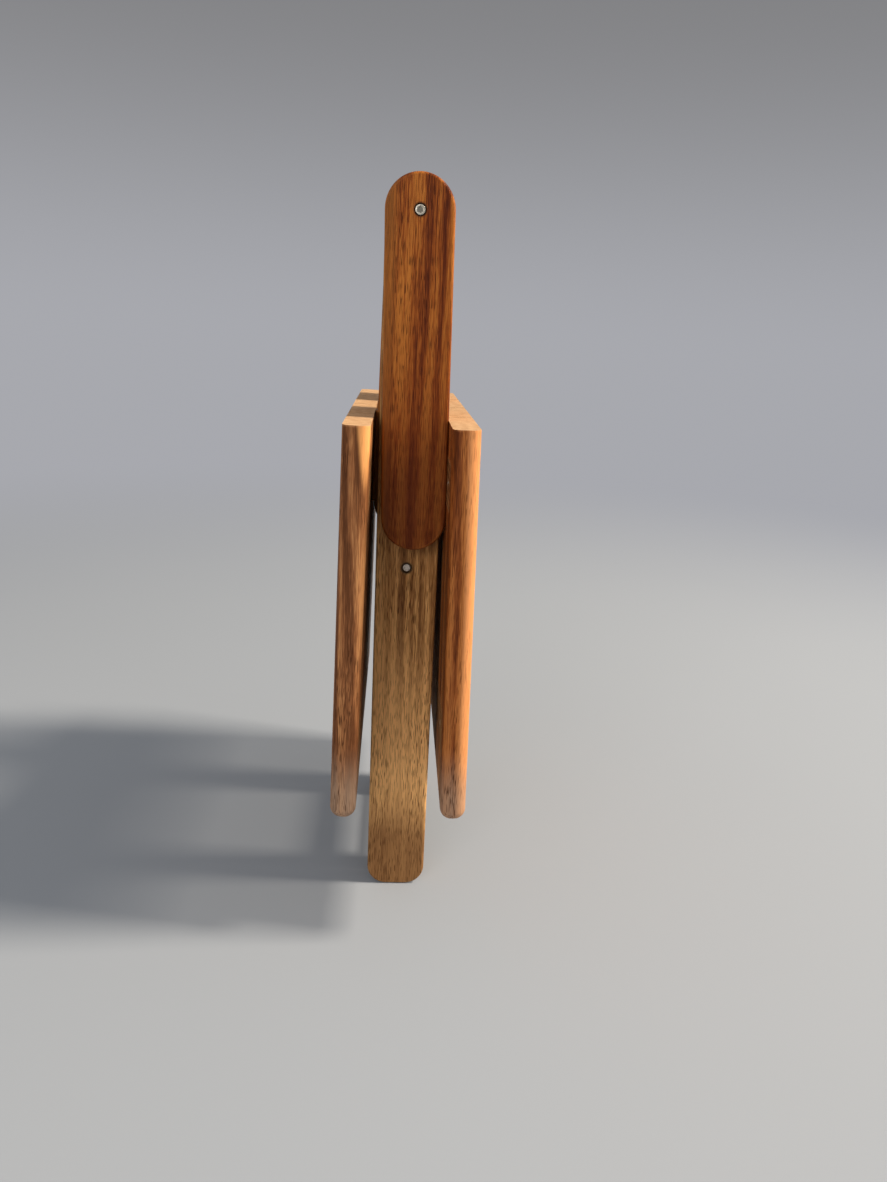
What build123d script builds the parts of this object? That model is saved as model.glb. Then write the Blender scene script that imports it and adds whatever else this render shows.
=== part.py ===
from build123d import *
import os
from math import radians, sin

# Folding lounge chair in acacia, stored folded and upright as it is carried.
# X is across the folded stack, Y across the chair's width, Z up.
# The seat panel is at -X, the back panel at +X, and the legs lie between them.

# Boards of the frame
board_width = 50.0
board_thickness = 20.0
board_edge = 2.0
leg_length = 585.0
foot_radius = 17.0
rail_length = 271.0
layer_gap = 1.2

# Where the frame turns
pivot_spacing = 266.0
rear_leg_reach = 178.0
prop_rise = 2.5
seat_swing = 46.0
seat_stand_off = 0.9
back_stand_off = 0.9
bearing_gap = 0.3

# Panels of planks
plank_length = 304.0
plank_width = 88.0
plank_thickness = 20.0
plank_gap = 1.0
plank_count = 4
end_round = 9.0
side_round = 7.0
plank_ease = 1.2
panel_reach = 146.0
rail_inset = 58.0

# Battens let in flush across the planks
batten_width = 36.0
batten_thickness = 9.0
batten_margin = 20.0
batten_first = 44.0
batten_last = 64.0

# Fasteners and bearings
bolt_radius = 3.0
bolt_head_radius = 3.6
bolt_head_height = 3.0
bolt_recess_radius = 4.3
socket_across_flats = 3.6
socket_depth = 2.2
running_gap = 0.05
washer_radius = 9.0
washer_thickness = 1.0
spacer_radius = 8.0
hinge_bar_radius = 14.0
hinge_bar_gap = 0.4
bolt_end_gap = 23.0
pin_radius = 3.2
pin_rim_radius = 4.2
pin_rim_depth = 1.5
support_bar_radius = 11.0
support_bar_tenon = 7.0
support_bar_tenon_depth = 12.0
screw_radius = 1.75
screw_head_radius = 3.6
screw_head_height = 2.4
batten_screw_length = 15.0
rail_screw_length = 42.0
rail_screw_margin = 26.0

# Places that follow from those sizes
half_width = board_width / 2
hinge_z = leg_length - half_width
pin_z = hinge_z - pivot_spacing
panel_top = hinge_z - panel_reach
panel_bottom = panel_top - plank_length
panel_width = plank_count * plank_width + (plank_count - 1) * plank_gap
layer_pitch = board_thickness + layer_gap
back_rail_y = panel_width / 2 - rail_inset
front_leg_y = back_rail_y - layer_pitch
rear_leg_y = front_leg_y - layer_pitch
seat_rail_y = rear_leg_y - layer_pitch
prop_reach = pivot_spacing + prop_rise
seat_gap = prop_rise * sin(radians(seat_swing)) + bearing_gap
rail_bottom = hinge_z + half_width - rail_length
support_z = pin_z - prop_reach
batten_levels = (panel_top - batten_first, panel_bottom + batten_last)
plank_pitch = plank_width + plank_gap
plank_rows = [(i - (plank_count - 1) / 2) * plank_pitch for i in range(plank_count)]
rail_screw_levels = (panel_top - rail_screw_margin / 2, rail_bottom + rail_screw_margin)
hinge_axis = Axis((0, 0, hinge_z), (0, 1, 0))
sides = (("left", -1), ("right", 1))

os.makedirs("parts", exist_ok=True)


def keep(part, name, turn=0.0):
    """Turn a finished piece about the hinge to where it rests folded, label it and write it out."""
    if turn:
        part = part.rotate(hinge_axis, turn)
    part.label = name
    export_step(part, f"parts/{name}.step")


def board_plane(side, outer):
    """The low-Y face of a board whose outer face is that far from the middle."""
    low = -outer if side < 0 else outer - board_thickness
    return Plane.XZ.offset(-low)


def board_middle(side, outer):
    """The middle of a board's thickness, along Y."""
    return side * (outer - board_thickness / 2)


def round_ended_board(side, outer, top_z, bottom_z, extra=0.0):
    """A board with both ends round about their centres, widened by extra on its -X edge."""
    with BuildPart() as board:
        with BuildSketch(board_plane(side, outer)):
            with Locations((0, (top_z + bottom_z) / 2)):
                Rectangle(board_width, top_z - bottom_z)
            with Locations((0, top_z), (0, bottom_z)):
                Circle(half_width)
            if extra:
                with Locations((-(half_width + extra) / 2, (panel_top + bottom_z) / 2)):
                    Rectangle(half_width + extra, panel_top - bottom_z)
        extrude(amount=-board_thickness)
        fillet(board.faces().filter_by(Axis.Y).edges(), board_edge)
    return board.part


# Front legs: long boards, hinged to seat and back at the top, crossed by the rear legs at the pin
for name, side in sides:
    with BuildPart() as front_leg:
        with BuildSketch(board_plane(side, front_leg_y)) as leg_outline:
            with Locations((0, hinge_z / 2)):
                Rectangle(board_width, hinge_z)
            fillet(leg_outline.vertices().group_by(Axis.Y)[0], foot_radius)
            with Locations((0, hinge_z)):
                Circle(half_width)
        extrude(amount=-board_thickness)
        fillet(front_leg.faces().filter_by(Axis.Y).edges(), board_edge)
        with Locations((0, board_middle(side, front_leg_y), hinge_z)):
            Cylinder(bolt_radius, board_thickness, rotation=(90, 0, 0), mode=Mode.SUBTRACT)
        with Locations((0, board_middle(side, front_leg_y), pin_z)):
            Cylinder(pin_radius, board_thickness, rotation=(90, 0, 0), mode=Mode.SUBTRACT)
        with Locations((0, side * (front_leg_y - pin_rim_depth / 2), pin_z)):
            Cylinder(pin_rim_radius, pin_rim_depth, rotation=(90, 0, 0), mode=Mode.SUBTRACT)
    keep(front_leg.part, f"{name}_front_leg")

# Rear legs: cross the front legs at the pin, one end the rear foot, the other bearing on the seat
for name, side in sides:
    with BuildPart() as rear_leg:
        add(round_ended_board(side, rear_leg_y, pin_z + rear_leg_reach, support_z))
        with Locations((0, board_middle(side, rear_leg_y), pin_z)):
            Cylinder(pin_radius + running_gap, board_thickness, rotation=(90, 0, 0), mode=Mode.SUBTRACT)
        tenon_y = side * (rear_leg_y - board_thickness + support_bar_tenon_depth / 2)
        with Locations((0, tenon_y, support_z)):
            Cylinder(
                support_bar_tenon, support_bar_tenon_depth, rotation=(90, 0, 0), mode=Mode.SUBTRACT
            )
    keep(rear_leg.part, f"{name}_rear_leg")

# Support bar: ties the rear legs together at the end that bears on the seat
bar_length = 2 * (rear_leg_y - board_thickness)
with BuildPart() as support_bar:
    with Locations((0, 0, support_z)):
        Cylinder(support_bar_radius, bar_length, rotation=(90, 0, 0))
        Cylinder(support_bar_tenon, bar_length + 2 * support_bar_tenon_depth, rotation=(90, 0, 0))
keep(support_bar.part, "support_bar")

# Back rails: round-ended boards on the outside, carrying the back panel from the hinge
for name, side in sides:
    with BuildPart() as back_rail:
        add(round_ended_board(side, back_rail_y, hinge_z, rail_bottom + half_width))
        with Locations((0, board_middle(side, back_rail_y), hinge_z)):
            Cylinder(bolt_radius + running_gap, board_thickness, rotation=(90, 0, 0), mode=Mode.SUBTRACT)
        with Locations((0, side * (back_rail_y - bolt_head_height / 2), hinge_z)):
            Cylinder(bolt_recess_radius, bolt_head_height, rotation=(90, 0, 0), mode=Mode.SUBTRACT)
        screw_reach = rail_screw_length - plank_thickness
        for level in rail_screw_levels:
            with Locations((half_width - screw_reach / 2, board_middle(side, back_rail_y), level)):
                Cylinder(screw_radius, screw_reach, rotation=(0, 90, 0), mode=Mode.SUBTRACT)
    keep(back_rail.part, f"{name}_back_rail", -back_stand_off)

# Seat rails: the innermost boards, carrying the seat panel from the same hinge
for name, side in sides:
    with BuildPart() as seat_rail:
        add(round_ended_board(side, seat_rail_y, hinge_z, rail_bottom + half_width, seat_gap))
        with Locations((0, board_middle(side, seat_rail_y), hinge_z)):
            Cylinder(bolt_radius + running_gap, board_thickness, rotation=(90, 0, 0), mode=Mode.SUBTRACT)
        screw_reach = rail_screw_length - plank_thickness
        for level in rail_screw_levels:
            screw_x = -half_width - seat_gap + screw_reach / 2
            with Locations((screw_x, board_middle(side, seat_rail_y), level)):
                Cylinder(screw_radius, screw_reach, rotation=(0, 90, 0), mode=Mode.SUBTRACT)
    keep(seat_rail.part, f"{name}_seat_rail", seat_stand_off)

# Hinge bolts: hexagon socket heads let into the back rails, screwed into the hinge bar
seat_rail_inner = seat_rail_y - board_thickness
bar_end = seat_rail_inner - hinge_bar_gap
bolt_grip = bar_end - bolt_end_gap / 2
for name, side in sides:
    bolt_inner = bar_end - bolt_grip
    with BuildPart() as hinge_bolt:
        with Locations((0, side * (back_rail_y + bolt_inner) / 2, hinge_z)):
            Cylinder(bolt_radius, back_rail_y - bolt_inner, rotation=(90, 0, 0))
        with Locations((0, side * (back_rail_y - bolt_head_height / 2), hinge_z)):
            Cylinder(bolt_head_radius, bolt_head_height, rotation=(90, 0, 0))
        with BuildSketch(Plane.XZ.offset(-side * back_rail_y)):
            with Locations((0, hinge_z)):
                RegularPolygon(socket_across_flats / 2, 6, major_radius=False)
        extrude(amount=side * socket_depth, mode=Mode.SUBTRACT)
    keep(hinge_bolt.part, f"{name}_hinge_bolt")

# Hinge bar: a turned bar between the seat rails, bored at both ends for the bolts
with BuildPart() as hinge_bar:
    with Locations((0, 0, hinge_z)):
        Cylinder(hinge_bar_radius, 2 * bar_end, rotation=(90, 0, 0))
    fillet(hinge_bar.edges().filter_by(GeomType.CIRCLE), board_edge)
    for name, side in sides:
        with Locations((0, side * (bar_end - bolt_grip / 2), hinge_z)):
            Cylinder(bolt_radius, bolt_grip, rotation=(90, 0, 0), mode=Mode.SUBTRACT)
keep(hinge_bar.part, "hinge_bar")

# Spacers: tubes on the hinge bolts that hold the seat rails clear of the rear legs
spacer_outer = front_leg_y - board_thickness
spacer_length = spacer_outer - seat_rail_y - (layer_gap - washer_thickness)
for name, side in sides:
    with BuildPart() as spacer:
        with Locations((0, side * (spacer_outer - spacer_length / 2), hinge_z)):
            Cylinder(spacer_radius, spacer_length, rotation=(90, 0, 0))
            Cylinder(bolt_radius, spacer_length, rotation=(90, 0, 0), mode=Mode.SUBTRACT)
    keep(spacer.part, f"{name}_hinge_spacer")

# Hinge washers: between the back rails and the front legs
with BuildPart() as hinge_washers:
    for name, side in sides:
        with Locations((0, side * (front_leg_y + washer_thickness / 2), hinge_z)):
            Cylinder(washer_radius, washer_thickness, rotation=(90, 0, 0))
            Cylinder(bolt_radius, washer_thickness, rotation=(90, 0, 0), mode=Mode.SUBTRACT)
keep(hinge_washers.part, "hinge_washers")

# Leg pins: plain steel pins where the legs cross, set just below the front leg's face
pin_outer = front_leg_y - pin_rim_depth / 2
pin_length = pin_outer - (rear_leg_y - board_thickness)
for name, side in sides:
    with BuildPart() as leg_pin:
        with Locations((0, side * (pin_outer - pin_length / 2), pin_z)):
            Cylinder(pin_radius, pin_length, rotation=(90, 0, 0))
        chamfer(leg_pin.edges().filter_by(GeomType.CIRCLE), pin_radius / 8)
    keep(leg_pin.part, f"{name}_leg_pin")

# Pin washers: between the crossing legs
with BuildPart() as pin_washers:
    for name, side in sides:
        with Locations((0, side * (spacer_outer - washer_thickness / 2), pin_z)):
            Cylinder(washer_radius, washer_thickness, rotation=(90, 0, 0))
            Cylinder(pin_radius, washer_thickness, rotation=(90, 0, 0), mode=Mode.SUBTRACT)
keep(pin_washers.part, "pin_washers")


def panel(name, side, inner, rail_middle, turn):
    """A panel of planks with flush battens and screws, its inner face that far from the middle."""
    outer = inner + plank_thickness
    batten_length = panel_width - 2 * batten_margin
    for number, row in enumerate(plank_rows, 1):
        with BuildPart() as plank:
            with BuildSketch(Plane.XZ.offset(plank_width / 2 - row)) as plank_outline:
                with Locations((side * (inner + outer) / 2, (panel_top + panel_bottom) / 2)):
                    Rectangle(plank_thickness, plank_length)
                fillet(plank_outline.vertices().group_by(Axis.Y)[0], end_round)
            extrude(amount=-plank_width)
            for face, edge_of_panel in zip(
                plank.faces().filter_by(Axis.Y).sort_by(Axis.Y), (number == 1, number == plank_count)
            ):
                run = face.edges().group_by(Axis.Z)[:-1]
                run = [edge for group in run for edge in group]
                if edge_of_panel:
                    fillet(run, side_round)
                else:
                    chamfer(run, plank_ease)
            for level in batten_levels:
                with Locations((side * (inner + batten_thickness / 2), 0, level)):
                    Box(batten_thickness, batten_length, batten_width, mode=Mode.SUBTRACT)
                with Locations((side * (inner + batten_screw_length / 2), row, level)):
                    Cylinder(
                        screw_radius, batten_screw_length, rotation=(0, 90, 0), mode=Mode.SUBTRACT
                    )
            for rail_side in (-1, 1):
                for level in rail_screw_levels:
                    with Locations((side * (inner + outer) / 2, rail_side * rail_middle, level)):
                        Cylinder(screw_radius, plank_thickness, rotation=(0, 90, 0), mode=Mode.SUBTRACT)
                    head_x = side * (outer - screw_head_height / 2)
                    with Locations((head_x, rail_side * rail_middle, level)):
                        Cylinder(
                            screw_head_radius,
                            screw_head_height,
                            rotation=(0, 90, 0),
                            mode=Mode.SUBTRACT,
                        )
        keep(plank.part, f"{name}_plank_{number}", turn)

    for end, level in zip(("inner", "outer"), batten_levels):
        with BuildPart() as batten:
            with Locations((side * (inner + batten_thickness / 2), 0, level)):
                Box(batten_thickness, batten_length, batten_width)
            with Locations(*[(side * (inner + batten_thickness / 2), row, level) for row in plank_rows]):
                Cylinder(screw_radius, batten_thickness, rotation=(0, 90, 0), mode=Mode.SUBTRACT)
            with Locations(*[(side * (inner + screw_head_height / 2), row, level) for row in plank_rows]):
                Cylinder(
                    screw_head_radius, screw_head_height, rotation=(0, 90, 0), mode=Mode.SUBTRACT
                )
        keep(batten.part, f"{name}_batten_{end}", turn)

    with BuildPart() as batten_screws:
        for level in batten_levels:
            for row in plank_rows:
                with Locations((side * (inner + batten_screw_length / 2), row, level)):
                    Cylinder(screw_radius, batten_screw_length, rotation=(0, 90, 0))
                with Locations((side * (inner + screw_head_height / 2), row, level)):
                    Cylinder(screw_head_radius, screw_head_height, rotation=(0, 90, 0))
    keep(batten_screws.part, f"{name}_batten_screws", turn)

    with BuildPart() as rail_screws:
        for rail_side in (-1, 1):
            for level in rail_screw_levels:
                with Locations((side * (outer - rail_screw_length / 2), rail_side * rail_middle, level)):
                    Cylinder(screw_radius, rail_screw_length, rotation=(0, 90, 0))
                with Locations((side * (outer - screw_head_height / 2), rail_side * rail_middle, level)):
                    Cylinder(screw_head_radius, screw_head_height, rotation=(0, 90, 0))
    keep(rail_screws.part, f"{name}_rail_screws", turn)


# Back panel: its planks lie against the back rails
panel("back", 1, half_width, back_rail_y - board_thickness / 2, -back_stand_off)

# Seat panel: its planks lie against the seat rails, a little clear of the legs
panel("seat", -1, half_width + seat_gap, seat_rail_y - board_thickness / 2, seat_stand_off)
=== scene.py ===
from math import cos, pi, radians, sin

import bpy
from mathutils import Matrix, Vector


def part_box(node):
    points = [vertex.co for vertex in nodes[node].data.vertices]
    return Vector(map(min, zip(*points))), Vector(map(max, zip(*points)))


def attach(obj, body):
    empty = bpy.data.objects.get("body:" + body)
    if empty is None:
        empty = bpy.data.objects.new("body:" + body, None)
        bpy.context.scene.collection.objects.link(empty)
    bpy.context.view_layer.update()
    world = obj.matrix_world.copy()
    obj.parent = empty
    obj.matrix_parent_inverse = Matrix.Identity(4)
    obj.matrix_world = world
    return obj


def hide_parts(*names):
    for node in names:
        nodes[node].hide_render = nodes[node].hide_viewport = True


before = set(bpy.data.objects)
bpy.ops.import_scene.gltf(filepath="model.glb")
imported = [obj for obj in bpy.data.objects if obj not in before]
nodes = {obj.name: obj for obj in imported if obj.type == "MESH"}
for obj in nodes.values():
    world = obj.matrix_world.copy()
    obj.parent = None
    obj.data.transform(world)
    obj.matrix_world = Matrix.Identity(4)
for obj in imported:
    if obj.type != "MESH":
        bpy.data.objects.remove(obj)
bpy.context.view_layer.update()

# A slatted acacia lounge chair, folded flat and standing on its front feet.
# Its boards come from the frame and get their finish here, and its screws and
# hinge bolts are modelled anew in their places.
bpy.ops.object.select_all(action="DESELECT")
scene = bpy.context.scene
scene.view_settings.view_transform = "Standard"


# The chair stands on a wide floor of pale matt card, lit from above.
# Far from the chair the floor fades into the plain tone of the room.
floor_radius = 14.0
floor_rim = 0.6 * floor_radius
card_tone = (0.318, 0.348, 0.395, 1)
card_fleck = (0.338, 0.368, 0.415, 1)
room_tone = (0.39, 0.395, 0.425, 1)
fade_start = 0.55
fade_end = 2.4

bpy.ops.mesh.primitive_circle_add(vertices=128, radius=floor_radius, fill_type="NGON")
card = bpy.context.object
card.name = "floor_card"
bpy.ops.object.mode_set(mode="EDIT")
bpy.ops.mesh.inset(thickness=floor_rim)
bpy.ops.object.mode_set(mode="OBJECT")


class Wire:
    """A shader socket that takes part in sums: an expression on wires adds its Math nodes."""

    def __init__(self, tree, socket=None):
        self.tree = tree
        self.socket = socket

    def node(self, kind, settings, inputs, output=0):
        """Any node: its type, its settings, and the values or wires of its sockets."""
        made = self.tree.nodes.new("ShaderNode" + kind)
        for setting, value in settings.items():
            if setting == "stops":
                ramp = made.color_ramp
                while len(ramp.elements) < len(value):
                    ramp.elements.new(0.5)
                for element, (place, colour) in zip(ramp.elements, value):
                    element.position = place
                    element.color = (*colour, 1)
            else:
                setattr(made, setting, value)
        for where, value in inputs.items():
            if isinstance(value, Wire):
                self.tree.links.new(value.socket, made.inputs[where])
            else:
                made.inputs[where].default_value = value
        return Wire(self.tree, made.outputs[output])

    def maths(self, operation, first, second):
        return self.node("Math", {"operation": operation}, {0: first, 1: second})

    def __add__(self, other):
        return self.maths("ADD", self, other)

    def __sub__(self, other):
        return self.maths("SUBTRACT", self, other)

    def __rsub__(self, other):
        return self.maths("SUBTRACT", other, self)

    def __mul__(self, other):
        return self.maths("MULTIPLY", self, other)

    __radd__ = __add__
    __rmul__ = __mul__

    def length(self):
        return self.node("VectorMath", {"operation": "LENGTH"}, {0: self}, "Value")

    def dot(self, other):
        return self.node("VectorMath", {"operation": "DOT_PRODUCT"}, {0: self, 1: other}, "Value")

    def between(self, low, high):
        """0 at low, 1 at high, and a smooth step from one to the other."""
        settings = {"interpolation_type": "SMOOTHSTEP"}
        return self.node("MapRange", settings, {"Value": self, "From Min": low, "From Max": high})

    def noise(self, where, scale, detail=2.0, roughness=0.5):
        inputs = {"Vector": where, "Scale": scale, "Detail": detail, "Roughness": roughness}
        return self.node("TexNoise", {}, inputs)

    def mix(self, share, first, second):
        return self.node("Mix", {"data_type": "RGBA"}, {0: share, 6: first, 7: second}, 2)

    def feed(self, shader, name):
        self.tree.links.new(self.socket, shader.inputs[name])


def new_finish(name):
    finish = bpy.data.materials.new(name)
    finish.use_nodes = True
    return finish, Wire(finish.node_tree), finish.node_tree.nodes["Principled BSDF"]


card_finish, wire, shader = new_finish("pale_card")
place = wire.node("TexCoord", {}, {}, "Object")
mottle = wire.noise(place, scale=1.3, detail=3.0)
wire.mix(mottle, card_tone, card_fleck).feed(shader, "Base Color")
shader.inputs["Roughness"].default_value = 0.95
shader.inputs["Specular IOR Level"].default_value = 0.1
room = wire.node("Emission", {}, {"Color": room_tone, "Strength": 1.0})
far = place.length().between(fade_start, fade_end)
floor = Wire(card_finish.node_tree, shader.outputs[0])
seen = wire.node("LightPath", {}, {}, "Is Camera Ray")
ends = wire.node("MixShader", {}, {0: far * seen, 1: floor, 2: room})
ends.feed(card_finish.node_tree.nodes["Material Output"], "Surface")
card.data.materials.append(card_finish)


# The light is a plain pale room, two warm soft lamps on the right, one high and
# one lower, as sun and window, and a weak lamp in front on the left.
ceiling_tone = (0.22, 0.22, 0.228, 1)
daylight = (1.0, 0.985, 0.965, 1)
daylight_strength = 0.44

world = bpy.data.worlds.new("pale_room")
scene.world = world
world.use_nodes = True
wire = Wire(world.node_tree)
direction = wire.node("TexCoord", {}, {}, "Generated")
rise = wire.node("SeparateXYZ", {}, {0: direction}, "Z")
room_seen = wire.mix(rise.between(-0.02, 0.34), room_tone, ceiling_tone)
seen_tone = wire.node("Background", {}, {"Color": room_seen, "Strength": 1.0})
light_tone = wire.node("Background", {}, {"Color": daylight, "Strength": daylight_strength})
seen = wire.node("LightPath", {}, {}, "Is Camera Ray")
room_light = wire.node("MixShader", {}, {0: seen, 1: light_tone, 2: seen_tone})
room_light.feed(world.node_tree.nodes["World Output"], "Surface")


def soft_lamp(name, place, target, width, power, colour):
    bpy.ops.object.light_add(type="AREA", location=place)
    lamp = bpy.context.object
    lamp.name = name
    lamp.rotation_euler = (Vector(target) - Vector(place)).to_track_quat("-Z", "Y").to_euler()
    lamp.data.size = width
    lamp.data.energy = power
    lamp.data.color = colour


soft_lamp("sun_lamp", place=(3.4, -0.39, 4.1), target=(0, -0.05, 0.3),
          width=0.8, power=264, colour=(1.0, 0.88, 0.72))
soft_lamp("window_lamp", place=(4.4, -0.22, 1.9), target=(0, -0.12, 0.3),
          width=0.7, power=168, colour=(1.0, 0.87, 0.70))
soft_lamp("room_lamp", place=(-0.8, -1.9, 1.0), target=(0, -0.05, 0.3),
          width=1.0, power=11, colour=(1.0, 0.96, 0.92))


# The camera stands a little above the hinge and looks down on the near edges,
# with the place, turn and lens found from the corners of the boards.
camera_place = Vector((-0.01237, -0.79716, 0.48203))
camera_pitch = radians(16.424)
camera_yaw = radians(3.533)
camera_roll = radians(2.852)
picture_width = 887
focal_pixels = 895.4
sensor_width = 36

bpy.ops.object.camera_add()
camera = bpy.context.object
level_ahead = Vector((sin(camera_yaw), cos(camera_yaw), 0))
ahead = cos(camera_pitch) * level_ahead - sin(camera_pitch) * Vector((0, 0, 1))
level_right = Vector((cos(camera_yaw), -sin(camera_yaw), 0))
level_up = level_right.cross(ahead)
right = cos(camera_roll) * level_right + sin(camera_roll) * level_up
up = cos(camera_roll) * level_up - sin(camera_roll) * level_right
turn = Matrix((right, up, -ahead)).transposed()
camera.matrix_world = Matrix.Translation(camera_place) @ turn.to_4x4()
camera.data.sensor_fit = "HORIZONTAL"
camera.data.sensor_width = sensor_width
camera.data.lens = sensor_width * focal_pixels / picture_width
camera.data.clip_start = 0.01
scene.camera = camera


# The front legs are the two long boards of oiled acacia, golden to olive brown,
# sawn with the grain along them, with rounded feet. They carry the hinge bolts.
# Below the pin they turn paler, a painted patch of light on their lower
# part, and the feet are soiled.
def shaded(tone, red, green, blue):
    return (tone[0] * red, tone[1] * green, tone[2] * blue, 1)


def acacia(name, grain, pith, start, tones, end_grain, gloss=0.46, ring_gap=0.0065,
           contrast=1.0, banding=0.52, pore_cover=0.2, bore_height=None, sapwood_and_highlight=None, zones=()):
    """Oiled acacia: growth rings round a pith, long streaks, short pores, and pale rubbed edges.

    sapwood_and_highlight is a pale band on a side or corner of the board: real sapwood on
    the rails, and a painted highlight on the planks. zones are heights at which the board
    turns paler or darker; on the legs the paler zone is painted light."""
    finish, wire, shader = new_finish(name)
    dark, middle, light = tones
    along = Vector((0, 1, 0)) if grain == "y" else Vector((0, 0, 1))
    across = Vector((1, 1, 1)) - along
    place = wire.node("TexCoord", {}, {}, "Object")
    facing = wire.node("TexCoord", {}, {}, "Normal")

    def drawn_out(stretch):
        inputs = {"Vector": place, "Location": start, "Scale": across + along / stretch}
        return wire.node("Mapping", {}, inputs)

    ring_slope = 0.045
    ring_sway = 0.02
    sway = wire.noise(drawn_out(9), scale=14) - 0.5
    inputs = {"Vector": place, "Location": pith, "Scale": across + along * ring_slope}
    from_pith = wire.node("Mapping", {}, inputs).length()
    turns = (from_pith + sway * ring_sway) * (2 * pi / ring_gap)
    rings = wire.maths("SINE", turns, 0) * 0.5 + 0.5

    streak_share = 0.36
    ring_share = 0.15
    fibre_share = 0.42
    tone_range = 0.135 / contrast
    broad = wire.noise(drawn_out(13), scale=42, detail=3.0, roughness=0.55)
    streak = wire.noise(drawn_out(38), scale=240, detail=4.0, roughness=0.65)
    fibre = wire.noise(drawn_out(30), scale=1500, roughness=0.65)
    level = 0.5 - (banding + streak_share + ring_share + fibre_share) / 2
    figure = broad * banding + streak * streak_share + rings * ring_share + fibre * fibre_share + level
    stops = [(0.5 - tone_range, dark), (0.5, middle), (0.5 + tone_range, light)]
    colour = wire.node("ValToRGB", {"stops": stops}, {"Fac": figure})

    band_sway = 0.012
    patch = wire.noise(drawn_out(5), scale=55, detail=1.0).between(0.32, 0.60)
    patch = patch * (1 - pore_cover) + pore_cover
    # Painted highlight on the planks: the pale band on the corner facing the lamps stands for light
    # falling there. On the rails the same band is real sapwood.
    if sapwood_and_highlight is not None:
        outward = place.dot(sapwood_and_highlight["toward"]) + sway * band_sway
        band_reach = outward.between(sapwood_and_highlight["inner"], sapwood_and_highlight["outer"])
        patch = patch * (1 - band_reach * 0.6)
        share = band_reach * (streak * 0.7 + 0.65) * sapwood_and_highlight["share"]
        colour = wire.mix(share, colour, (*sapwood_and_highlight["tone"], 1))

    zone_sway = 0.05
    height = wire.node("SeparateXYZ", {}, {0: place}, "Z") + sway * zone_sway
    for zone in zones:
        share = height.between(zone["gone"], zone["full"]) * (streak * 0.6 + 0.7) * zone["share"]
        colour = wire.mix(share, colour, (*zone["tone"], 1))

    pore_depth = 0.8
    pores = wire.noise(drawn_out(18), scale=1900, detail=0.0).between(0.55, 0.67) * patch
    colour = wire.mix(pores * pore_depth, colour, shaded(dark, 0.42, 0.36, 0.30))

    edge_width = 0.0030
    edge_wear = 0.6
    rubbed = wire.node("Bevel", {"samples": 4}, {"Radius": edge_width})
    same = rubbed.dot(wire.node("NewGeometry", {}, {}, "Normal"))
    uneven = wire.noise(drawn_out(3), scale=120, detail=4.0, roughness=0.7).between(0.38, 0.66)
    edge = (1 - same).between(0.02, 0.15) * (uneven * 0.75 + 0.25)
    pale = tuple(min(1.0, part * 1.6 + 0.05) for part in light)
    colour = wire.mix(edge * edge_wear, colour, (*pale, 1))

    cut = wire.maths("ABSOLUTE", facing.dot(along), 0).between(0.80, 0.97)
    specks = wire.noise(place, scale=900, detail=3.0, roughness=0.6).between(0.42, 0.70)
    blotch = wire.noise(place, scale=130, detail=3.0).between(0.42, 0.66)
    end_marks = specks * 0.35 + rings * 0.2 + blotch * 0.3
    end_colour = wire.mix(end_marks, (*end_grain, 1), shaded(end_grain, 0.62, 0.50, 0.42))
    colour = wire.mix(cut, colour, end_colour)

    # The wood is darker in a ring about the bore, out to some 6 mm from its axis.
    if bore_height is not None:
        bore_sway = 0.001
        inputs = {"Vector": place, "Location": (0, 0, -bore_height), "Scale": (1, 0, 1)}
        from_bore = wire.node("Mapping", {}, inputs).length() + sway * bore_sway
        bore_ring = 1 - from_bore.between(0.0040, 0.0060)
        colour = wire.mix(bore_ring * 0.9, colour, shaded(dark, 0.2, 0.2, 0.2))
    colour.feed(shader, "Base Color")

    dull = pores * 0.25 + cut * 0.18 + (fibre - 0.5) * 0.22 + (broad - 0.5) * 0.25
    (dull + gloss).feed(shader, "Roughness")
    relief = fibre * 0.35 + streak * 0.35 - pores
    bump = {"Height": relief, "Strength": 0.35, "Distance": 0.0005}
    wire.node("Bump", {}, bump).feed(shader, "Normal")
    shader.inputs["Specular IOR Level"].default_value = 0.13
    return finish


def dress(finish, *names):
    for name in names:
        nodes[name].data.materials.clear()
        nodes[name].data.materials.append(finish)


pin_height = 0.294
leg_end = (0.30, 0.17, 0.075)
leg_tones = ((0.20, 0.080, 0.022), (0.46, 0.215, 0.067), (0.74, 0.400, 0.145))
# Painted light: below the pin the legs turn paler, standing for the light on their lower part.
painted_low_light = {"full": 0.15, "gone": 0.27, "share": 0.68, "tone": (0.98, 0.54, 0.21)}
foot_soil = {"full": 0.035, "gone": 0.105, "share": 0.80, "tone": (0.15, 0.058, 0.018)}
for side, start in (("left", (0.0, 0.0, 0.0)), ("right", (0.31, 0.17, 0.4))):
    leg = acacia(f"golden_acacia_{side}", "z", pith=(0.055, 0.02, 0.012), start=start,
                 tones=leg_tones, end_grain=leg_end, contrast=1.2, banding=0.34, pore_cover=0.6,
                 bore_height=pin_height, zones=(painted_low_light, foot_soil))
    dress(leg, f"{side}_front_leg")


# The hinge bar and the support bar are turned acacia rods across the chair. The
# first lies between the seat rails and is bored for the hinge bolts, and the
# second is tenoned into the rear legs.
bar_tones = ((0.10, 0.042, 0.014), (0.21, 0.095, 0.032), (0.34, 0.17, 0.062))
bar = acacia("turned_acacia", "y", pith=(0.01, 0.0, 0.04), start=(0.2, 0.0, 0.1),
             tones=bar_tones, end_grain=(0.42, 0.26, 0.13))
dress(bar, "hinge_bar", "support_bar")


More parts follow.
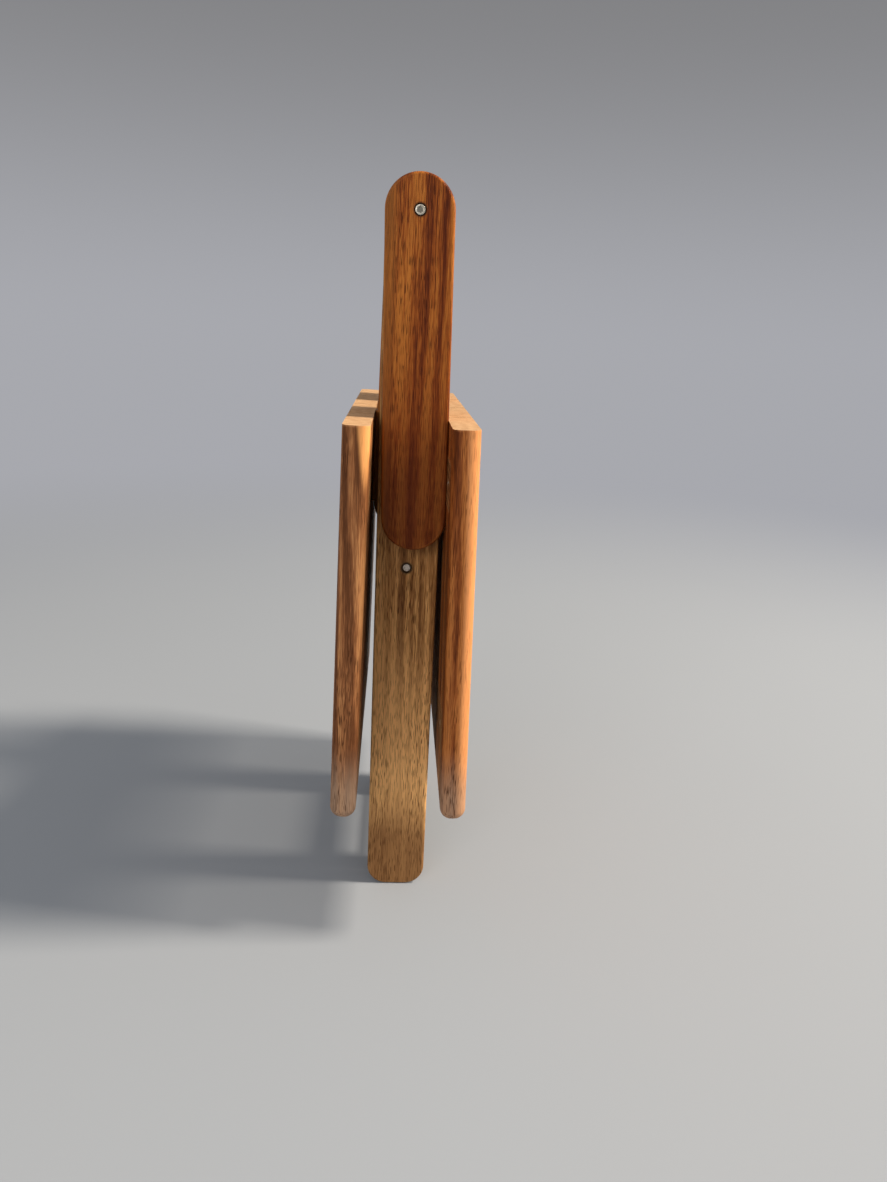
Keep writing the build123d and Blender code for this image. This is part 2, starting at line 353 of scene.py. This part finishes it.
# The hinge bolts have a hexagon socket in a small round head, let into the back
# rails, and run through the boards into the hinge bar. They are steel, drawn and
# then dulled by handling.
hinge_height = 0.560
bolt_sides = 48
bolt_head_radius = 0.0036
bolt_head_depth = 0.0030
bolt_radius = 0.0030
socket_corner_radius = 0.0028
socket_depth = 0.0022
socket_shade_and_soil_radius = 0.0021
bolt_tone = (0.60, 0.56, 0.48)


def drawn_steel(name, tone, axis_height=0.0, rim=None, socket_radius=None):
    """Steel with fine drawn scratches and soil, a ring of painted shade at a rim, and painted shade with
    soil in a socket about its axis.
    """
    finish, wire, shader = new_finish(name)
    place = wire.node("TexCoord", {}, {}, "Object")
    inputs = {"Vector": place, "Location": (0, 0, -axis_height), "Scale": (1, 0, 1)}
    radius = wire.node("Mapping", {}, inputs).length()
    drawn = wire.node("Mapping", {}, {"Vector": place, "Scale": (1, 1, 0.06)})
    scratch = wire.noise(drawn, scale=5200, detail=3.0)
    soil = wire.noise(place, scale=900, detail=3.0).between(0.40, 0.68)
    colour = wire.mix(soil * 0.55, (*tone, 1), shaded(tone, 0.45, 0.45, 0.45))
    metal = 1 - soil * 0.1
    # Painted shade: a dark ring at the rim stands for the shade in the gap where the pin meets its hole.
    if rim is not None:
        rim_radius, rim_shade_tone = rim
        at_rim = radius.between(rim_radius - 0.0002, rim_radius + 0.0001)
        colour = wire.mix(at_rim, colour, (*rim_shade_tone, 1))
        metal = metal - at_rim * 0.5
    # Painted shade and soil: the floor of the socket is darkened, where the recess lies in shade.
    if socket_radius is not None:
        in_socket = 1 - radius.between(socket_radius - 0.0003, socket_radius)
        colour = wire.mix(in_socket * 0.8, colour, shaded(tone, 0.22, 0.22, 0.22))
    colour.feed(shader, "Base Color")
    metal.feed(shader, "Metallic")
    (scratch * 0.25 + soil * 0.15 + 0.20).feed(shader, "Roughness")
    bump = {"Height": scratch, "Strength": 0.15, "Distance": 0.0002}
    wire.node("Bump", {}, bump).feed(shader, "Normal")
    return finish


def headed_blank(name, sides, head_radius, head_depth, shank_radius):
    """A round head along Z, its face at the origin, left in edit mode with the shank's start selected."""
    bpy.ops.object.select_all(action="DESELECT")
    bpy.ops.mesh.primitive_cylinder_add(vertices=sides, radius=head_radius, depth=head_depth)
    blank = bpy.context.object
    blank.name = name
    blank.location = (0, 0, -head_depth / 2)
    bpy.ops.object.transform_apply(location=True, rotation=True, scale=True)
    bpy.ops.object.mode_set(mode="EDIT")
    bpy.ops.mesh.select_mode(type="FACE")
    bpy.ops.mesh.select_all(action="DESELECT")
    bpy.ops.object.mode_set(mode="OBJECT")
    for face in blank.data.polygons:
        face.select = face.normal.z < -0.9
    bpy.ops.object.mode_set(mode="EDIT")
    bpy.ops.mesh.inset(thickness=head_radius - shank_radius)
    return blank


def draw_down(amount):
    bpy.ops.mesh.extrude_region_move(TRANSFORM_OT_translate={"value": (0, 0, -amount)})


def ease_rim(piece, segments, least_angle):
    bpy.ops.object.mode_set(mode="OBJECT")
    rim = piece.modifiers.new("rim", "BEVEL")
    rim.width = 0.0003
    rim.segments = segments
    rim.limit_method = "ANGLE"
    rim.angle_limit = radians(least_angle)
    bpy.ops.object.modifier_apply(modifier=rim.name)


def cut_away(piece, cutter):
    bpy.context.view_layer.objects.active = piece
    recess = piece.modifiers.new("recess", "BOOLEAN")
    recess.operation = "DIFFERENCE"
    recess.object = cutter
    bpy.ops.object.modifier_apply(modifier=recess.name)
    bpy.data.objects.remove(cutter)


def fit_steel(piece, finish, body, node):
    """Smooth a steel piece, give it its finish, and let it stand for its node on a body."""
    bpy.ops.object.select_all(action="DESELECT")
    piece.select_set(True)
    bpy.context.view_layer.objects.active = piece
    bpy.ops.object.shade_smooth_by_angle(angle=radians(35))
    piece.data.materials.clear()
    piece.data.materials.append(finish)
    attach(piece, body)
    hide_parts(node)


def socket_bolt(name, length):
    bolt = headed_blank(name, bolt_sides, bolt_head_radius, bolt_head_depth, bolt_radius)
    draw_down(length - bolt_head_depth)
    ease_rim(bolt, segments=3, least_angle=60)
    bpy.ops.object.select_all(action="DESELECT")
    bpy.ops.mesh.primitive_cylinder_add(vertices=6, radius=socket_corner_radius, depth=2 * socket_depth)
    cut_away(bolt, bpy.context.object)
    return bolt


bolt_steel = drawn_steel("bolt_steel", bolt_tone, hinge_height, socket_radius=socket_shade_and_soil_radius)
for side, outward in (("left", -1), ("right", 1)):
    low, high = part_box(f"{side}_hinge_bolt")
    middle = (low + high) / 2
    face = Vector((middle.x, low.y if outward < 0 else high.y, middle.z))
    bolt = socket_bolt(f"{side}_hinge_bolt_socketed", high.y - low.y)
    turn = Vector((0, outward, 0)).to_track_quat("Z", "Y").to_matrix().to_4x4()
    bolt.data.transform(Matrix.Translation(face) @ turn)
    fit_steel(bolt, bolt_steel, "front_legs", f"{side}_hinge_bolt")


# The leg pins are plain cut rod, driven through the legs where they cross. Their
# ends are bare steel, dull like the bolts, with a painted shade ring at the rim
# where the pin meets its hole.
pin_tone = (0.50, 0.43, 0.37)
pin_rim_shade = (0.0033, (0.035, 0.026, 0.022))
pin_steel = drawn_steel("pin_steel", pin_tone, pin_height, rim=pin_rim_shade)
dress(pin_steel, "left_leg_pin", "right_leg_pin")


# Nylon spacers and washers keep the boards a little apart, so that they turn
# without rubbing. They are moulded, dark, and slightly frosted.
nylon_dark = (0.045, 0.042, 0.040, 1)
nylon_frost = (0.085, 0.080, 0.074, 1)
nylon, wire, shader = new_finish("frosted_nylon")
place = wire.node("TexCoord", {}, {}, "Object")
frost = wire.noise(place, scale=2600, detail=3.0)
wire.mix(frost, nylon_dark, nylon_frost).feed(shader, "Base Color")
(frost * 0.3 + 0.4).feed(shader, "Roughness")
wire.node("Bump", {}, {"Height": frost, "Strength": 0.2, "Distance": 0.0002}).feed(shader, "Normal")
dress(nylon, "left_hinge_spacer", "right_hinge_spacer", "hinge_washers", "pin_washers")


# The rear legs are the shorter boards inside the front legs, crossed on the pins.
# They have the legs' golden acacia, and hold the bar that bears under the seat.
rear_tones = ((0.120, 0.054, 0.018), (0.26, 0.128, 0.044), (0.42, 0.225, 0.085))
rear = acacia("golden_acacia_rear", "z", pith=(-0.05, 0.01, 0.02), start=(0.7, 0.4, 0.2),
              tones=rear_tones, end_grain=leg_end)
dress(rear, "left_rear_leg", "right_rear_leg")


# The rails are round-ended boards of redder, darker acacia, screwed to the planks.
# The back's pair are the outermost boards, and the seat's pair the innermost.
rail_end = (0.26, 0.12, 0.045)
rail_tones = ((0.105, 0.017, 0.0012), (0.270, 0.062, 0.007), (0.47, 0.155, 0.024))
# The rails are darker towards their lower ends.
rail_darker_low = {"full": 0.35, "gone": 0.52, "share": 0.60, "tone": (0.115, 0.020, 0.001)}
rail_sapwood = {"toward": (-1, 0, 0), "inner": 0.013, "outer": 0.022, "share": 0.30,
                "tone": (0.53, 0.216, 0.039)}
for number, name in enumerate(("left_back_rail", "right_back_rail", "left_seat_rail", "right_seat_rail")):
    start = (0.13 * number + 0.4, 0.21 * number, 0.37 * number)
    rail = acacia(f"red_acacia_{number + 1}", "z", pith=(0.045, 0.03, -0.01), start=start,
                  tones=rail_tones, end_grain=rail_end, gloss=0.42, contrast=1.5, banding=0.28,
                  pore_cover=0.5, bore_height=hinge_height, sapwood_and_highlight=rail_sapwood, zones=(rail_darker_low,))
    dress(rail, name)


# The seat and the back are each four acacia planks side by side, from different
# boards, so every one has a tone of its own. Their upper ends are cut square and
# their lower ends rounded. Each panel's first plank has a painted highlight: a pale
# band along its corner towards the lamps, where the light falls on it.
plank_tones = {
    "seat_plank_1": ((0.13, 0.044, 0.014), (0.30, 0.113, 0.040), (0.54, 0.25, 0.095)),
    "seat_plank_2": ((0.13, 0.060, 0.024), (0.27, 0.140, 0.060), (0.46, 0.26, 0.12)),
    "seat_plank_3": ((0.11, 0.042, 0.014), (0.24, 0.100, 0.036), (0.42, 0.20, 0.080)),
    "seat_plank_4": ((0.15, 0.070, 0.028), (0.31, 0.165, 0.070), (0.52, 0.31, 0.15)),
    "back_plank_1": ((0.10, 0.021, 0.003), (0.25, 0.066, 0.013), (0.45, 0.155, 0.038)),
    "back_plank_2": ((0.11, 0.045, 0.016), (0.23, 0.105, 0.040), (0.40, 0.21, 0.085)),
    "back_plank_3": ((0.15, 0.068, 0.026), (0.30, 0.155, 0.064), (0.50, 0.29, 0.135)),
    "back_plank_4": ((0.12, 0.046, 0.015), (0.26, 0.110, 0.038), (0.45, 0.22, 0.085)),
}
# Painted highlight: on each panel's first plank, a pale band along the corner that faces the lamps stands
# for the light falling there.
plank_painted_highlight = {
    "seat_plank_1": {"toward": (0.71, -0.71, 0.07), "inner": 0.1265, "outer": 0.1290, "share": 0.9,
                     "tone": (0.92, 0.41, 0.135)},
    "back_plank_1": {"toward": (0.71, -0.71, 0.011), "inner": 0.1560, "outer": 0.1590, "share": 0.9,
                     "tone": (0.82, 0.335, 0.118)},
}
plank_end = (0.68, 0.43, 0.23)
plank_soil_tone = (0.39, 0.265, 0.18)
for number, (name, tones) in enumerate(plank_tones.items()):
    low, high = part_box(name)
    pith = (0.06 * (-1) ** number, -(low.y + high.y) / 2 + 0.02, 0.01 * number)
    start = (0.17 * number, 0.29 * number, 0.23 * number)
    end_soil = {"full": low.z + 0.01, "gone": low.z + 0.06, "share": 0.65, "tone": plank_soil_tone}
    plank = acacia(f"plank_acacia_{number + 1}", "z", pith=pith, start=start, tones=tones,
                   end_grain=plank_end, gloss=0.48, ring_gap=0.008, contrast=1.35,
                   sapwood_and_highlight=plank_painted_highlight.get(name), zones=(end_soil,))
    dress(plank, name)


# Two battens lie flush in the inner face of each panel and hold its planks together.
# They are flat acacia strips, screwed on, with their grain across the chair.
batten_tones = ((0.12, 0.052, 0.018), (0.25, 0.118, 0.044), (0.40, 0.21, 0.085))
batten = acacia("batten_acacia", "y", pith=(0.02, 0.0, 0.03), start=(0.5, 0.1, 0.9),
                tones=batten_tones, end_grain=(0.45, 0.27, 0.13))
dress(batten, "seat_batten_inner", "seat_batten_outer", "back_batten_inner", "back_batten_outer")


# Steel screws hold the battens and the rails to the planks. Each has a flat round
# head with a cross recess pressed into it, and a rolled thread that runs to a point.
screw_sides = 24
screw_head_radius = 0.0036
screw_head_depth = 0.0024
shank_radius = 0.00175
thread_pitch = 0.0018
thread_root = 0.74
point_taper = 0.15
recess_length = 0.0042
recess_width = 0.0010
recess_depth = 0.0013
recess_taper = 0.6
turn_between_screws = 0.7
screw_tone = (0.46, 0.44, 0.40)
screw_steel = drawn_steel("screw_steel", screw_tone)


def cross_bars():
    """Two tapered bars, crossed at the origin, that press the recess into a head."""
    bars = []
    for turn_about in (0, pi / 2):
        bpy.ops.mesh.primitive_cube_add(size=1, rotation=(0, 0, turn_about))
        bar_piece = bpy.context.object
        bar_piece.scale = (recess_length, recess_width, 2 * recess_depth)
        bpy.ops.object.transform_apply(location=True, rotation=True, scale=True)
        bpy.ops.object.mode_set(mode="EDIT")
        bpy.ops.mesh.select_mode(type="VERT")
        bpy.ops.mesh.select_all(action="DESELECT")
        bpy.ops.object.mode_set(mode="OBJECT")
        for corner in bar_piece.data.vertices:
            corner.select = corner.co.z < 0
        bpy.ops.object.mode_set(mode="EDIT")
        bpy.ops.transform.resize(value=(recess_taper, recess_taper, 1), center_override=(0, 0, 0))
        bpy.ops.object.mode_set(mode="OBJECT")
        bars.append(bar_piece)
    return bars


def thread_screw(name, length):
    """One screw along Z, its head's face at the origin and its point below."""
    screw = headed_blank(name, screw_sides, screw_head_radius, screw_head_depth, shank_radius)
    thread_turns = int((length - screw_head_depth) / thread_pitch) - 2
    depth = -screw_head_depth
    for step in range(2 * thread_turns):
        depth -= thread_pitch / 2
        draw_down(thread_pitch / 2)
        scale = thread_root if step % 2 == 0 else 1 / thread_root
        bpy.ops.transform.resize(value=(scale, scale, 1), center_override=(0, 0, depth))
    draw_down(length + depth)
    bpy.ops.transform.resize(value=(point_taper, point_taper, 1), center_override=(0, 0, -length))
    ease_rim(screw, segments=2, least_angle=80)
    for bar_piece in cross_bars():
        cut_away(screw, bar_piece)
    return screw


def screw_ends(node):
    """The middle of the head's face and the point of each screw in a node."""
    clusters = []
    for corner in nodes[node].data.vertices:
        for cluster in clusters:
            if (cluster[0].yz - corner.co.yz).length < 3 * screw_head_radius:
                cluster.append(corner.co.copy())
                break
        else:
            clusters.append([corner.co.copy()])
    for corners in clusters:
        ends = []
        for edge_of in (min, max):
            level = edge_of(corner.x for corner in corners)
            ring = [corner for corner in corners if abs(corner.x - level) < 0.0002]
            spans = [(min(c[k] for c in ring), max(c[k] for c in ring)) for k in range(3)]
            middle = Vector([sum(span) / 2 for span in spans])
            ends.append((spans[1][1] - spans[1][0], middle))
        ends.sort(key=lambda end: end[0])
        yield ends[1][1], ends[0][1]


for node, body in (("seat_batten_screws", "seat"), ("seat_rail_screws", "seat"),
                   ("back_batten_screws", "back"), ("back_rail_screws", "back")):
    placed = list(screw_ends(node))
    head, point = placed[0]
    model = thread_screw(f"{node}_model", (head - point).length)
    copies = []
    for number, (head, point) in enumerate(placed):
        copy = bpy.data.objects.new(f"{node}_{number}", model.data.copy())
        scene.collection.objects.link(copy)
        facing = (head - point).to_track_quat("Z", "Y").to_matrix()
        spin = Matrix.Rotation(turn_between_screws * number, 3, "Z")
        copy.data.transform(Matrix.Translation(head) @ (facing @ spin).to_4x4())
        copies.append(copy)
    bpy.data.objects.remove(model)
    bpy.ops.object.select_all(action="DESELECT")
    for copy in copies:
        copy.select_set(True)
    bpy.context.view_layer.objects.active = copies[0]
    bpy.ops.object.join()
    screws = bpy.context.object
    screws.name = f"{node}_threaded"
    fit_steel(screws, screw_steel, body, node)
